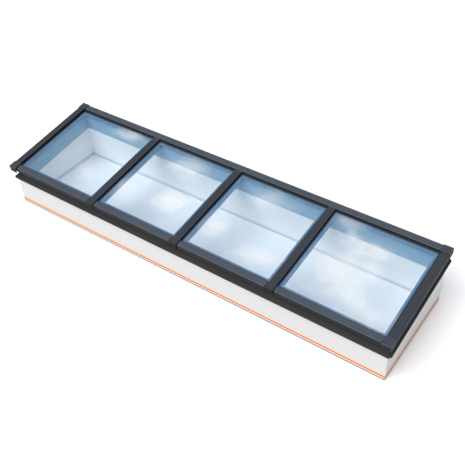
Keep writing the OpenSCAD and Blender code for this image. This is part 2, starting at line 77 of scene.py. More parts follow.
class Wire:
    """One output of a shader node; arithmetic on it adds Math nodes."""

    def __init__(self, shader: "Shader", socket: bpy.types.NodeSocket) -> None:
        """Keeps the output and the shader it belongs to.

        Args:
            shader: The shader that new nodes are added to.
            socket: The node output that this wire stands for.
        """
        self.shader = shader
        self.socket = socket

    def math(self, operation: str, other: Value = 0.0, swapped: bool = False) -> "Wire":
        """Adds one Math node.

        Args:
            operation: The Math node's operation.
            other: The second number or wire.
            swapped: True to put the other value first.

        Returns:
            The result of the operation.
        """
        first, second = (other, self) if swapped else (self, other)
        return self.shader.node(
            "ShaderNodeMath", {"operation": operation}, {0: first, 1: second}
        )

    def __add__(self, other: Value) -> "Wire":
        """Sum of the two."""
        return self.math("ADD", other)

    def __radd__(self, other: Value) -> "Wire":
        """Sum of the two."""
        return self.math("ADD", other)

    def __sub__(self, other: Value) -> "Wire":
        """This less the other."""
        return self.math("SUBTRACT", other)

    def __rsub__(self, other: Value) -> "Wire":
        """The other less this."""
        return self.math("SUBTRACT", other, swapped=True)

    def __mul__(self, other: Value) -> "Wire":
        """Product of the two."""
        return self.math("MULTIPLY", other)

    def __rmul__(self, other: Value) -> "Wire":
        """Product of the two."""
        return self.math("MULTIPLY", other)


class Shader:
    """One material and the nodes that feed it."""

    def __init__(self, name: str) -> None:
        """Starts an empty node tree.

        Args:
            name: Name of the material.
        """
        self.material = bpy.data.materials.new(name)
        self.material.use_nodes = True
        self.tree = self.material.node_tree
        self.tree.nodes.clear()
        self.output = self.tree.nodes.new("ShaderNodeOutputMaterial")
        self.coordinates = self.tree.nodes.new("ShaderNodeTexCoord")

    def node(
        self,
        kind: str,
        settings: dict[str, Any] | None = None,
        inputs: dict[Any, Any] | None = None,
        output: Any = 0,
    ) -> Wire:
        """Adds any node: its settings first, then the values or links of its sockets.

        Args:
            kind: Blender's name of the node type.
            settings: Attributes of the node; "stops" holds a ramp's (place, colour) pairs.
            inputs: Values or wires, by the socket's name or number.
            output: Name or number of the output that is wanted.

        Returns:
            The wanted output.
        """
        made = self.tree.nodes.new(kind)
        for key, setting in (settings or {}).items():
            if key == "stops":
                ramp = made.color_ramp
                while len(ramp.elements) < len(setting):
                    ramp.elements.new(1.0)
                for element, (place, colour) in zip(ramp.elements, setting):
                    element.position = place
                    element.color = (*colour, 1.0)
            else:
                setattr(made, key, setting)
        for key, value in (inputs or {}).items():
            socket = made.inputs[key]
            if isinstance(value, Wire):
                self.tree.links.new(value.socket, socket)
            elif isinstance(value, tuple) and socket.type == "RGBA":
                socket.default_value = (*value, 1.0)
            else:
                socket.default_value = value
        return Wire(self, made.outputs[output])

    def place(self, centre: Triple = (0, 0, 0), stretch: Triple = (1, 1, 1)) -> Wire:
        """Object coordinates, moved to a centre and stretched along each axis.

        Args:
            centre: Point that becomes the pattern's origin.
            stretch: Factor along each axis; a larger one makes the pattern finer.

        Returns:
            The coordinates.
        """
        shift = tuple(-c * s for c, s in zip(centre, stretch))
        return self.node(
            "ShaderNodeMapping",
            {"vector_type": "POINT"},
            {
                "Vector": Wire(self, self.coordinates.outputs["Object"]),
                "Location": shift,
                "Scale": stretch,
            },
        )

    def axis(self, number: int) -> Wire:
        """One of the object coordinates: 0 for X, 1 for Y, 2 for Z."""
        return self.node("ShaderNodeSeparateXYZ", {}, {0: self.place()}, output=number)

    def noise(self, where: Wire, scale: float, detail: float = 2.0, rough: float = 0.5) -> Wire:
        """Soft noise from 0 to 1.

        Args:
            where: Coordinates of the pattern.
            scale: Patches per metre.
            detail: Number of finer layers.
            rough: Strength of the finer layers.

        Returns:
            The noise value.
        """
        return self.node(
            "ShaderNodeTexNoise",
            {"noise_dimensions": "3D"},
            {"Vector": where, "Scale": scale, "Detail": detail, "Roughness": rough},
        )

    def cells(self, where: Wire, scale: float) -> Wire:
        """Distance to the nearest cell centre, for pores and grains.

        Args:
            where: Coordinates of the pattern.
            scale: Cells per metre.

        Returns:
            The distance, from 0 in the middle of a cell.
        """
        return self.node("ShaderNodeTexVoronoi", {}, {"Vector": where, "Scale": scale})

    def ease(self, value: Wire, low: float, high: float, to: tuple[float, float] = (0, 1)) -> Wire:
        """A smooth step between two values.

        Args:
            value: What is mapped.
            low: Value that gives the first result.
            high: Value that gives the second result.
            to: The two results.

        Returns:
            The mapped value.
        """
        return self.node(
            "ShaderNodeMapRange",
            {"interpolation_type": "SMOOTHSTEP"},
            {
                "Value": value,
                "From Min": low,
                "From Max": high,
                "To Min": to[0],
                "To Max": to[1],
            },
        )

    def reach(self, where: Wire) -> Wire:
        """Distance of coordinates from their origin."""
        return self.node(
            "ShaderNodeVectorMath", {"operation": "LENGTH"}, {0: where}, output="Value"
        )

    def tint(self, share: Value, low: Colour | Wire, high: Colour | Wire) -> Wire:
        """A colour between two colours.

        Args:
            share: Share of the second colour.
            low: The first colour.
            high: The second colour.

        Returns:
            The mixed colour.
        """
        return self.node(
            "ShaderNodeMix",
            {"data_type": "RGBA"},
            {0: share, 6: low, 7: high},
            output=2,
        )

    def relief(self, height: Wire, depth: float, strength: float = 1.0) -> Wire:
        """A bumped normal.

        Args:
            height: Height from 0 to 1.
            depth: Height of the relief in metres.
            strength: Share of the relief that shows.

        Returns:
            The normal.
        """
        return self.node(
            "ShaderNodeBump", {}, {"Strength": strength, "Distance": depth, "Height": height}
        )

    def coat(self, **sockets: Any) -> Wire:
        """Adds the Principled node.

        Args:
            **sockets: Its sockets, with underscores for the spaces in their names.

        Returns:
            The shader's output.
        """
        return self.node(
            "ShaderNodeBsdfPrincipled",
            {},
            {name.replace("_", " "): value for name, value in sockets.items()},
        )

    def show(self, surface: Wire) -> bpy.types.Material:
        """Makes a shader the material's surface and returns the material."""
        self.tree.links.new(surface.socket, self.output.inputs["Surface"])
        return self.material


# ------------------------------------------------------------------ finishes


@dataclass(frozen=True)
class Finish:
    """A finish of one of the record's material slots."""

    name: str
    tone: Colour

    def make(self) -> bpy.types.Material:
        """Builds the finish's material."""
        raise NotImplementedError

    def lighter(self, factor: float) -> Colour:
        """The finish's tone times a factor.

        Args:
            factor: Factor on each channel.

        Returns:
            The changed colour, at most 1 in each channel.
        """
        return tuple(min(1.0, channel * factor) for channel in self.tone)


@dataclass(frozen=True)
class PowderCoat(Finish):
    """Baked powder coat: an even tone, a fine orange-peel skin and a soft sheen.

    The legs that are folded down get painted shade, a deeper tone than the top in place of the
    shade on faces that turn from the light, and the fold between them gets a painted highlight, a
    paler band (painted shade where painted_fold_light is under 1). A point's depth is its distance
    below the plane of the bar covers' tops, which rises by the slope from (top_front, top_foot):
    sin a times how far back it lies, less cos a times how high. The part below the fold takes
    painted_shade_leg_tone, which is so the tone of the fascia and the skirt too.
    """

    rough: float = 0.38
    gloss: float = 0.04
    top: float = 0.0
    # Painted shade: tone of the folded-down legs, darker than the top in place of the shade on
    # faces that turn from the light.
    painted_shade_leg_tone: Colour = (0.017, 0.017, 0.0175)
    # Painted highlight: the fold's tone as a factor on the tone; under 1 it is painted shade.
    painted_fold_light: float = 2.2
    grain: float = 1100.0
    top_front: float = -0.5582
    top_foot: float = 0.45
    slope: float = 8.0
    fold_r: float = 0.0035
    skin_depth: float = 0.00012

    def make(self) -> bpy.types.Material:
        """Builds the material: tone and gloss drift slowly, the skin is a shallow fine noise."""
        s = Shader(self.name)
        skin = s.noise(s.place(), self.grain, 1.0)
        drift = s.noise(s.place(), 3.0, 3.0)
        mottle = s.noise(s.place(), 160.0, 2.0)
        share = s.ease(drift * 0.6 + mottle * 0.4, 0.3, 0.7)
        top = s.tint(share, self.lighter(0.93), self.lighter(1.07))
        # Painted shade: below the fold the colour turns to the darker leg tone, drifting up to 1.2
        # times it.
        painted_shade_leg_high = tuple(1.2 * channel for channel in self.painted_shade_leg_tone)
        painted_shade_leg = s.tint(share, self.painted_shade_leg_tone, painted_shade_leg_high)
        turn = math.radians(self.slope)
        back, rise = s.axis(1) - self.top_front, s.axis(2) - self.top_foot
        depth = back * math.sin(turn) - rise * math.cos(turn)
        below = depth - self.top
        # Mixes the top's tone and the painted shade of the legs across the fold.
        body = s.tint(s.ease(below, 0.6 * self.fold_r, 1.3 * self.fold_r), top, painted_shade_leg)
        # Painted highlight on a thin band at the fold, broken up by mottle; painted shade where
        # painted_fold_light is under 1.
        edge = s.ease(below, 0.05 * self.fold_r, 0.3 * self.fold_r) * s.ease(
            below, 0.9 * self.fold_r, 1.4 * self.fold_r, (1, 0)
        )
        painted_fold_share = edge * s.ease(mottle, 0.2, 0.6, (0.6, 1.0))
        return s.show(
            s.coat(
                Base_Color=s.tint(painted_fold_share, body, self.lighter(self.painted_fold_light)),
                Roughness=s.ease(drift, 0.3, 0.7, (self.rough - 0.04, self.rough + 0.05)),
                Specular_IOR_Level=self.gloss,
                Normal=s.relief(skin, self.skin_depth, 0.6),
            )
        )


@dataclass(frozen=True)
class SheetFacing(Finish):
    """Smooth coated sheet with a little roof dust towards its foot."""

    foot: float = 0.04
    reach_up: float = 0.12
    dust: Colour = (0.55, 0.54, 0.52)

    def make(self) -> bpy.types.Material:
        """Builds the material: dust fades out above the foot, broken up by noise."""
        s = Shader(self.name)
        where = s.place()
        patch = s.noise(where, 9.0, 4.0, 0.6)
        low = s.ease(s.axis(2), self.foot, self.foot + self.reach_up, (1, 0))
        dust = low * s.ease(patch, 0.35, 0.75)
        sheet = s.tint(s.noise(where, 2.0, 2.0), self.lighter(0.985), self.tone)
        return s.show(
            s.coat(
                Base_Color=s.tint(dust * 0.25, sheet, self.dust),
                Roughness=s.ease(patch, 0.2, 0.8, (0.30, 0.40)),
                Normal=s.relief(s.noise(where, 14.0, 1.0), 0.0006, 0.35),
            )
        )


@dataclass(frozen=True)
class PaintedBoard(Finish):
    """Board or timber under a rolled coat of paint."""

    streak: Triple = (3.0, 60.0, 60.0)
    rough: float = 0.5

    def make(self) -> bpy.types.Material:
        """Builds the material: long weak grain under the fine stipple of a paint roller."""
        s = Shader(self.name)
        grain = s.noise(s.place(stretch=self.streak), 1.0, 4.0, 0.6)
        stipple = s.noise(s.place(), 420.0, 2.0)
        colour = s.tint(s.ease(grain, 0.3, 0.7), self.lighter(0.965), self.lighter(1.01))
        return s.show(
            s.coat(
                Base_Color=colour,
                Roughness=s.ease(stipple, 0.3, 0.7, (self.rough - 0.05, self.rough + 0.05)),
                Normal=s.relief(stipple * 0.5 + grain * 0.5, 0.0004, 0.4),
            )
        )


@dataclass(frozen=True)
class FibreProfile(Finish):
    """Satin composite profile with the faint drawn lines of pultruded fibre."""

    def make(self) -> bpy.types.Material:
        """Builds the material: fine noise drawn out along both directions of the profiles."""
        s = Shader(self.name)
        along_row = s.noise(s.place(stretch=(4.0, 500.0, 500.0)), 1.0, 2.0)
        up_slope = s.noise(s.place(stretch=(500.0, 4.0, 500.0)), 1.0, 2.0)
        fibre = along_row * 0.5 + up_slope * 0.5
        drift = s.noise(s.place(), 5.0, 2.0)
        share = s.ease(fibre * 0.6 + drift * 0.4, 0.35, 0.65)
        colour = s.tint(share, self.lighter(0.95), self.lighter(1.04))
        return s.show(
            s.coat(
                Base_Color=colour,
                Roughness=s.ease(fibre, 0.35, 0.65, (0.34, 0.46)),
                Normal=s.relief(fibre, 0.0002, 0.4),
            )
        )


@dataclass(frozen=True)
class SealingTape(Finish):
    """Matt butyl tape with slight wrinkles and pressed spots."""

    def make(self) -> bpy.types.Material:
        """Builds the material: wrinkles are noise stretched across the tape."""
        s = Shader(self.name)
        wrinkle = s.noise(s.place(stretch=(45.0, 45.0, 160.0)), 1.0, 3.0, 0.6)
        spots = s.noise(s.place(), 30.0, 2.0)
        colour = s.tint(s.ease(spots, 0.3, 0.75), self.tone, self.lighter(0.86))
        return s.show(
            s.coat(
                Base_Color=colour,
                Roughness=s.ease(wrinkle, 0.3, 0.7, (0.45, 0.62)),
                Specular_IOR_Level=0.0,
                Normal=s.relief(wrinkle, 0.0012, 0.5),
            )
        )


@dataclass(frozen=True)
class FoamRubber(Finish):
    """Open-pored foam rubber."""

    pores: float = 500.0

    def make(self) -> bpy.types.Material:
        """Builds the material: each cell of a cell pattern is a small dark pore."""
        s = Shader(self.name)
        pore = s.cells(s.place(), self.pores)
        drift = s.noise(s.place(), 12.0, 3.0)
        colour = s.tint(s.ease(pore, 0.05, 0.35), self.lighter(0.7), self.lighter(1.05))
        return s.show(
            s.coat(
                Base_Color=s.tint(drift * 0.3, colour, self.lighter(0.8)),
                Roughness=s.ease(pore, 0.1, 0.5, (0.95, 0.8)),
                Normal=s.relief(pore, 0.0008, 0.6),
            )
        )


@dataclass(frozen=True)
class SmoothRubber(Finish):
    """Extruded rubber or sealant with a dull bloom."""

    def make(self) -> bpy.types.Material:
        """Builds the material: a faint paler bloom drifts over it."""
        s = Shader(self.name)
        bloom = s.noise(s.place(), 25.0, 3.0, 0.6)
        skin = s.noise(s.place(), 700.0, 1.0)
        return s.show(
            s.coat(
                Base_Color=s.tint(s.ease(bloom, 0.4, 0.8), self.tone, self.lighter(1.7)),
                Roughness=s.ease(bloom, 0.3, 0.7, (0.48, 0.62)),
                Normal=s.relief(skin, 0.0002, 0.4),
            )
        )


@dataclass(frozen=True)
class DrawnMetal(Finish):
    """Extruded or plated metal with fine lines along its length."""

    streak: Triple = (6.0, 600.0, 600.0)
    rough: float = 0.34
    metal: float = 1.0

    def make(self) -> bpy.types.Material:
        """Builds the material: lines are noise drawn out along the metal."""
        s = Shader(self.name)
        line = s.noise(s.place(stretch=self.streak), 1.0, 2.0)
        drift = s.noise(s.place(), 20.0, 2.0)
        sheen = (self.rough - 0.06, self.rough + 0.08)
        return s.show(
            s.coat(
                Base_Color=s.tint(s.ease(line, 0.3, 0.7), self.lighter(0.9), self.lighter(1.05)),
                Metallic=self.metal,
                Roughness=s.ease(drift * 0.5 + line * 0.5, 0.3, 0.7, sheen),
                Normal=s.relief(line, 0.00015, 0.4),
            )
        )


@dataclass(frozen=True)
class PaintedCloud:
    """A painted cloud reflection on a pane: its centre, its half widths and how strongly it shows.
    """

    x: float
    y: float
    half_x: float
    half_y: float
    share: float


@dataclass(frozen=True)
class Pane(Finish):
    """A pane that tints what is behind it, under a painted reflection of the sky: a thin sky-blue
    layer with soft pale painted reflections of clouds.

    Each painted cloud reflection is an ellipse in plan. Its edge is blown about by slow noise, it
    fades smoothly from its centre to its rim, and it whitens the painted sky tint as much as it
    thickens it.
    """

    # Painted reflection: veil is the share of the painted sky tint, sheen its colour,
    # painted_cloud_tone the colour of the painted clouds and painted_cloud_whitening how fast they
    # whiten it.
    veil: float = 0.04
    sheen: Colour = (0.42, 0.60, 0.80)
    painted_cloud_tone: Colour = (0.86, 0.875, 0.89)
    painted_clouds: tuple[PaintedCloud, ...] = ()
    rough: float = 0.02
    glass_ior: float = 1.52
    painted_cloud_whitening: float = 0.16

    def make(self) -> bpy.types.Material:
        """Builds the material: a mix of a tinted clear shader and a glossy pale one, whose colour
        and share are the painted reflection of sky and clouds.
        """
        s = Shader(self.name)
        waver = s.noise(s.place(stretch=(1.0, 1.3, 0.2)), 3.8, 2.0, 0.5)
        wisp = s.noise(s.place(stretch=(1.0, 1.8, 0.2)), 9.0, 2.0, 0.5)
        ripple = s.noise(s.place(), 6.0, 1.0)
        # Painted reflection: each painted cloud adds to the share of the pale glossy layer by its
        # place on the pane.
        patches: Value = 0.0
        for glow in self.painted_clouds:
            spot = s.place((glow.x, glow.y, 0.0), (1 / glow.half_x, 1 / glow.half_y, 0.0))
            far = s.reach(spot) + (waver - 0.5) * 1.3 + (wisp - 0.5) * 0.45
            patches = s.ease(far, -0.4, 1.05, (glow.share, 0.0)) + patches
        share = s.ease(waver, 0.3, 0.7, (0.8 * self.veil, 1.2 * self.veil)) + patches
        clear = s.node("ShaderNodeBsdfTransparent", {}, {"Color": self.tone})
        # Painted reflection: where the painted clouds thicken the share, the sky-blue tint turns
        # white.
        white = s.ease(share, self.veil, self.veil + self.painted_cloud_whitening)
        glossy = s.coat(
            Base_Color=s.tint(white, self.sheen, self.painted_cloud_tone),
            Roughness=s.ease(ripple, 0.3, 0.7, (self.rough, self.rough + 0.03)),
            IOR=self.glass_ior,
            Normal=s.relief(ripple, 0.0006, 0.2),
        )
        mixed = s.node("ShaderNodeMixShader", {}, {0: share, 1: clear, 2: glossy})
        material = s.show(mixed)
        material.surface_render_method = "BLENDED"
        return material


@dataclass(frozen=True)
class InsulationBoard(Finish):
    """Rigid foam board with a beaded cut face."""

    def make(self) -> bpy.types.Material:
        """Builds the material: beads are the cells of a cell pattern."""
        s = Shader(self.name)
        bead = s.cells(s.place(), 260.0)
        colour = s.tint(s.ease(bead, 0.2, 0.6), self.lighter(1.03), self.lighter(0.88))
        return s.show(
            s.coat(
                Base_Color=colour,
                Roughness=s.ease(bead, 0.1, 0.6, (0.75, 0.9)),
                Normal=s.relief(1.0 - bead, 0.0008, 0.5),
            )
        )


# Painted cloud reflections on the outer panes, by centre, half widths and share.
PAINTED_CLOUDS = (
    PaintedCloud(-1.31, -0.21, 0.28, 0.22, 0.22),
    PaintedCloud(-1.27, 0.39, 0.34, 0.14, 0.26),
    PaintedCloud(-0.37, -0.15, 0.32, 0.22, 0.38),
    PaintedCloud(-0.86, -0.19, 0.34, 0.26, 0.18),
    PaintedCloud(-0.46, 0.30, 0.36, 0.24, 0.24),
    PaintedCloud(0.22, -0.18, 0.34, 0.24, 0.28),
    PaintedCloud(0.70, -0.29, 0.38, 0.22, 0.28),
    PaintedCloud(0.46, 0.30, 0.36, 0.22, 0.20),
    PaintedCloud(1.20, 0.42, 0.30, 0.15, 0.16),
    PaintedCloud(1.56, 0.25, 0.30, 0.14, 0.26),
    PaintedCloud(1.42, -0.12, 0.46, 0.44, 0.30),
    PaintedCloud(1.80, -0.35, 0.40, 0.22, 0.20),
)


class Slot(Enum):
    """The finishes by what they are on; most carry the name of the record's material slot."""

    COVER = PowderCoat("cover_sheet", (0.062, 0.073, 0.092), top=0.004)
    BACK_COVER = PowderCoat("cover_sheet_back", (0.062, 0.073, 0.092))
    # Painted shade: the verge and bar covers are the same cover sheet as the others, given a
    # darker tone, darker legs and a darker fold in place of the shade and weaker reflection on
    # them.
    SIDE_COVER_PAINTED_SHADE = PowderCoat("cover_sheet_side_painted_shade", (0.040, 0.0445, 0.054), painted_fold_light=0.7,
                            painted_shade_leg_tone=(0.008, 0.008, 0.0085))
    CAP = PowderCoat("cover_sheet_cap", (0.047, 0.056, 0.072), top=-0.008)
    FASCIA = PowderCoat("fascia", (0.017, 0.017, 0.0172), 0.50)
    SKIRT = PowderCoat("skirt_sheet", (0.034, 0.0345, 0.036), 0.45,
                       painted_shade_leg_tone=(0.031, 0.031, 0.032))
    FACING = SheetFacing("kerb_facing", (0.63, 0.628, 0.625))
    LINING = PaintedBoard("kerb_lining", (0.965, 0.965, 0.96), (2.0, 2.0, 14.0), 0.5)
    RAIL = PaintedBoard("head_rail", (0.25, 0.44, 0.59), (3.0, 3.0, 90.0), 0.42)
    SOLE = PaintedBoard("sole_timber", (0.78, 0.78, 0.79), (2.0, 2.0, 160.0), 0.6)
    TAPE = SealingTape("orange_tape", (1.0, 0.245, 0.0))
    GASKET = FoamRubber("base_gasket", (0.20, 0.195, 0.19))
    PROFILE = FibreProfile("frame_profile", (0.22, 0.40, 0.56))
    # Painted sky and cloud reflections on the outer panes; a fainter painted sky tint on the inner
    # ones.
    OUTER_GLASS = Pane("outer_glass", (0.955, 0.973, 0.985), veil=0.058, painted_clouds=PAINTED_CLOUDS)
    INNER_GLASS = Pane("inner_glass", (0.982, 0.99, 0.996), veil=0.012)
    SPACER = DrawnMetal("spacer", (0.075, 0.165, 0.29), (300.0, 300.0, 20.0), 0.45, 0.2)
    EDGE_SEAL = SmoothRubber("spacer_seal", (0.08, 0.175, 0.30))
    RUBBER = SmoothRubber("black_rubber", (0.012, 0.012, 0.013))
    PLATE = DrawnMetal("plate_aluminium", (0.62, 0.63, 0.65))
    FOAM = InsulationBoard("insulation", (0.85, 0.76, 0.42))
    STEEL = DrawnMetal("screw_steel", (0.55, 0.56, 0.58), (900.0, 900.0, 30.0), 0.3)


class Wardrobe:
    """Makes each finish once and dresses pieces in it."""

    def __init__(self) -> None:
        """Starts with no finish made."""
        self.made: dict[Slot, bpy.types.Material] = {}

    def dress(self, piece: bpy.types.Object, slot: Slot) -> None:
        """Gives every material slot of a piece one finish.

        Args:
            piece: The object to dress.
            slot: The finish.
        """
        if slot not in self.made:
            self.made[slot] = slot.value.make()
        if not piece.data.materials:
            piece.data.materials.append(self.made[slot])
        for index in range(len(piece.material_slots)):
            piece.material_slots[index].material = self.made[slot]


# ------------------------------------------------------------------ mesh toolkit


@dataclass(frozen=True)
class Plane:
    """A flat frame of reference: X along the row, S up the slope, N square to the surface.

    A point is at (x, front + s cos a - n sin a, foot + s sin a + n cos a) for a slope of a.
    """

    front: float
    foot: float
    slope: float = 0.0

    def place(self, x: np.ndarray, s: np.ndarray, n: np.ndarray) -> np.ndarray:
        """Points of the plane in the object's own frame.

        Args:
            x: Distances along the row.
            s: Distances up the slope.
            n: Distances square to the surface.

        Returns:
            The points, one row each.
        """
        across = self.front + s * math.cos(self.slope) - n * math.sin(self.slope)
        up = self.foot + s * math.sin(self.slope) + n * math.cos(self.slope)
        return np.stack([x, across, up], axis=-1).reshape(-1, 3)


@dataclass(frozen=True)
class Ring:
    """A bead that runs round a rectangle with rounded corners.

    The bead's section is a closed row of points (inward, up). At each corner the path turns
    about the corner's centre, so a point that lies u inward is at radius - u from it.
    """

    left: float
    right: float
    low: float
    high: float
    radius: float
    turns: int = 8

    def mesh(self, name: str, section: np.ndarray, plane: Plane) -> bpy.types.Object:
        """Sweeps the section round the rectangle.

        Args:
            name: Name of the new piece.
            section: Points (inward, up), counter-clockwise seen along the path.
            plane: Frame of reference of the rectangle.

        Returns:
            The new piece.
        """
        quarter = np.linspace(0.0, math.pi / 2, self.turns)
        angle = np.concatenate([quarter + k * math.pi / 2 for k in range(4)])
        east = np.repeat([1.0, 0.0, 0.0, 1.0], self.turns)
        north = np.repeat([1.0, 1.0, 0.0, 0.0], self.turns)
        mid_x = self.left + self.radius + east * (self.right - self.left - 2 * self.radius)
        mid_s = self.low + self.radius + north * (self.high - self.low - 2 * self.radius)
        arm = self.radius - section[None, :, 0]
        x = mid_x[:, None] + arm * np.cos(angle)[:, None]
        s = mid_s[:, None] + arm * np.sin(angle)[:, None]
        n = np.broadcast_to(section[None, :, 1], x.shape)
        return grid_piece(name, plane.place(x, s, n), x.shape)


def grid_piece(name: str, points: np.ndarray, shape: tuple[int, int]) -> bpy.types.Object:
    """Makes a closed piece from a grid that wraps round in both directions.

    Each face joins a point with the next ones along and round, and the faces are turned
    over if the volume that they enclose comes out negative.

    Args:
        name: Name of the new piece.
        points: The grid's points, one row each.
        shape: Number of points along the path and round the section.

    Returns:
        The new piece, smooth but for its sharp folds.
    """
    along, around = np.meshgrid(np.arange(shape[0]), np.arange(shape[1]), indexing="ij")
    ahead, beside = (along + 1) % shape[0], (around + 1) % shape[1]
    faces = np.stack(
        [
            along * shape[1] + around,
            ahead * shape[1] + around,
            ahead * shape[1] + beside,
            along * shape[1] + beside,
        ],
        axis=-1,
    ).reshape(-1, 4)
    a, b, c, d = (points[faces[:, k]] for k in range(4))
    volume = np.einsum("ij,ij->i", a, np.cross(b, c)) + np.einsum("ij,ij->i", a, np.cross(c, d))
    if volume.sum() < 0:
        faces = faces[:, ::-1]
    mesh = bpy.data.meshes.new(name)
    mesh.from_pydata(points.tolist(), [], faces.tolist())
    mesh.shade_smooth()
    mesh.set_sharp_from_angle(angle=math.radians(40))
    piece = bpy.data.objects.new(name, mesh)
    bpy.context.scene.collection.objects.link(piece)
    return piece


def half_round(wide: float, high: float, steps: int = 9) -> np.ndarray:
    """Section of a bead: a flat foot under half an ellipse.

    Each point is at (wide / 2 (1 + cos a), high sin a) for an angle a from 0 to half a turn.

    Args:
        wide: Width of the foot.
        high: Height of the ellipse over the foot.
        steps: Number of points on the ellipse.

    Returns:
        The points (inward, up).
    """
    turn = np.linspace(0.0, math.pi, steps)
    return np.stack([wide / 2 * (1 + np.cos(turn)), high * np.sin(turn)], axis=-1)


# ------------------------------------------------------------------ sub-assemblies


@dataclass
class SubAssembly:
    """A group of pieces that is dressed, and added to, in one go."""

    frame: dict[str, Any]
    wardrobe: Wardrobe
    finishes: dict[str, Slot] = field(default_factory=dict)

    def dress(self) -> None:
        """Gives each frame node whose name starts with one of the group's names its finish."""
        for start, slot in self.finishes.items():
            nodes = [n for n in self.frame["nodes"] if n.startswith(start)]
            for node in nodes:
                self.wardrobe.dress(self.frame["nodes"][node], slot)
            LOG.info("%s: %d nodes in %s", start, len(nodes), slot.value.name)

    def build(self) -> None:
        """Builds the group's own pieces; a group without any only dresses its nodes."""

    def add(self, piece: bpy.types.Object, slot: Slot, record_slot: str) -> None:
        """Dresses a new piece and fixes it to the one body.

        Args:
            piece: The new piece.
            slot: Its finish.
            record_slot: The record's material slot that the finish belongs to; not used.
        """
        self.wardrobe.dress(piece, slot)
        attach(piece, "root")
        LOG.info("added %s (%d faces)", piece.name, len(piece.data.polygons))


@dataclass
class Kerb(SubAssembly):
    """The insulated kerb with its foot, facings, lining and head rails."""

    finishes: dict[str, Slot] = field(
        default_factory=lambda: {
            "kerb_facing": Slot.FACING,
            "kerb_lining": Slot.LINING,
            "kerb_insulation": Slot.FOAM,
            "head_rail": Slot.RAIL,
            "sole_plates": Slot.SOLE,
            "seal_tapes": Slot.TAPE,
            "base_gaskets": Slot.GASKET,
        }
    )
    foot_trim: tuple[float, float] = (0.007, 0.016)
    trim_corner: float = 0.010
    trim_bevel: float = 0.004

    def build(self) -> None:
        """Builds the white trim round the foot of the lining, bevelled along its top edge."""
        west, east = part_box("kerb_lining_left")[1][0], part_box("kerb_lining_right")[0][0]
        south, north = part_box("kerb_lining_front")[1][1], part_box("kerb_lining_back")[0][1]
        trim = Ring(west, east, south, north, self.trim_corner)
        (wide, tall), cut = self.foot_trim, self.trim_bevel
        section = np.array(
            [[0.0, 0.0], [wide, 0.0], [wide, tall - cut], [wide - cut, tall], [0.0, tall]]
        )
        piece = trim.mesh("foot_trim", section, Plane(0.0, 0.0))
        self.add(piece, Slot.LINING, "kerb_lining")


@dataclass
class GlazedModules(SubAssembly):
    """The four frames with their sealed double glazing."""

    finishes: dict[str, Slot] = field(
        default_factory=lambda: {
            "module_frame": Slot.PROFILE,
            "inner_pane": Slot.INNER_GLASS,
            "outer_pane": Slot.OUTER_GLASS,
            "spacer_frame": Slot.SPACER,
            "glazing_gaskets": Slot.RUBBER,
            "joint_seals": Slot.RUBBER,
            "bar_plates": Slot.PLATE,
            "edge_plates": Slot.PLATE,
            "plate_screws": Slot.STEEL,
            "frame_screws": Slot.STEEL,
        }
    )
    modules: int = 4
    pane_t: float = 0.006
    cavity_t: float = 0.016
    gasket_w: float = 0.017
    spacer_w: float = 0.038
    lip: tuple[float, float] = (0.006, 0.0045)
    lip_corner: float = 0.008
    seal_w: float = 0.010
    seal_corner: float = 0.014
    seal_gap: float = 0.0005
    slope_rounds: int = 4

    def build(self) -> None:
        """Builds each pane's rubber lip on the glass and the blue seal along its spacer."""
        lip_section = half_round(*self.lip)
        top = -self.pane_t - self.seal_gap
        foot = -self.pane_t - self.cavity_t + self.seal_gap
        wide = self.seal_w
        seal_section = np.array([[0.0, foot], [wide, foot], [wide, top], [0.0, top]])
        for index in range(1, self.modules + 1):
            low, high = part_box(f"outer_pane_{index}")
            plane, length = self.top_face(low, high)
            lip = self.ring(low, high, length, self.gasket_w, self.lip_corner)
            seal = self.ring(low, high, length, self.spacer_w, self.seal_corner)
            piece = lip.mesh(f"glass_lip_{index}", lip_section, plane)
            self.add(piece, Slot.RUBBER, "black_rubber")
            piece = seal.mesh(f"edge_seal_{index}", seal_section, plane)
            self.add(piece, Slot.EDGE_SEAL, "spacer")

    def ring(
        self, low: Sequence[float], high: Sequence[float], length: float, inset: float,
        corner: float,
    ) -> Ring:
        """A ring that runs at one distance inside a pane's edges.

        Args:
            low: The pane's lowest corner.
            high: The pane's highest corner.
            length: The pane's length up the slope.
            inset: Distance from the pane's edges.
            corner: Radius of the ring's corners.

        Returns:
            The ring.
        """
        return Ring(low[0] + inset, high[0] - inset, inset, length - inset, corner)

    def top_face(self, low: Sequence[float], high: Sequence[float]) -> tuple[Plane, float]:
        """Finds the top face of a pane that slopes up towards +Y.

        The pane's thickness t leans by its slope a: its top front edge is t cos a over the
        box's lowest level, and its top back edge is t sin a in front of the box's back.

        Args:
            low: The pane's lowest corner.
            high: The pane's highest corner.

        Returns:
            The face's frame of reference and its length up the slope.
        """
        slope = math.atan2(high[2] - low[2] - self.pane_t, high[1] - low[1])
        for _ in range(self.slope_rounds):
            rise = high[2] - low[2] - self.pane_t * math.cos(slope)
            run = high[1] - low[1] - self.pane_t * math.sin(slope)
            slope = math.atan2(rise, run)
        foot = low[2] + self.pane_t * math.cos(slope)
        return Plane(low[1], foot, slope), math.hypot(rise, run)


@dataclass
class Covers(SubAssembly):
    """The folded covers, the corner caps, the fascia and the skirt."""

    finishes: dict[str, Slot] = field(
        default_factory=lambda: {
            "eaves_cover": Slot.COVER,
            "back_cover": Slot.BACK_COVER,
            "verge_cover": Slot.SIDE_COVER_PAINTED_SHADE,
            "bar_cover": Slot.SIDE_COVER_PAINTED_SHADE,
            "corner_cap": Slot.CAP,
            "fascia": Slot.FASCIA,
            "skirt": Slot.SKIRT,
        }
    )


# ------------------------------------------------------------------ studio


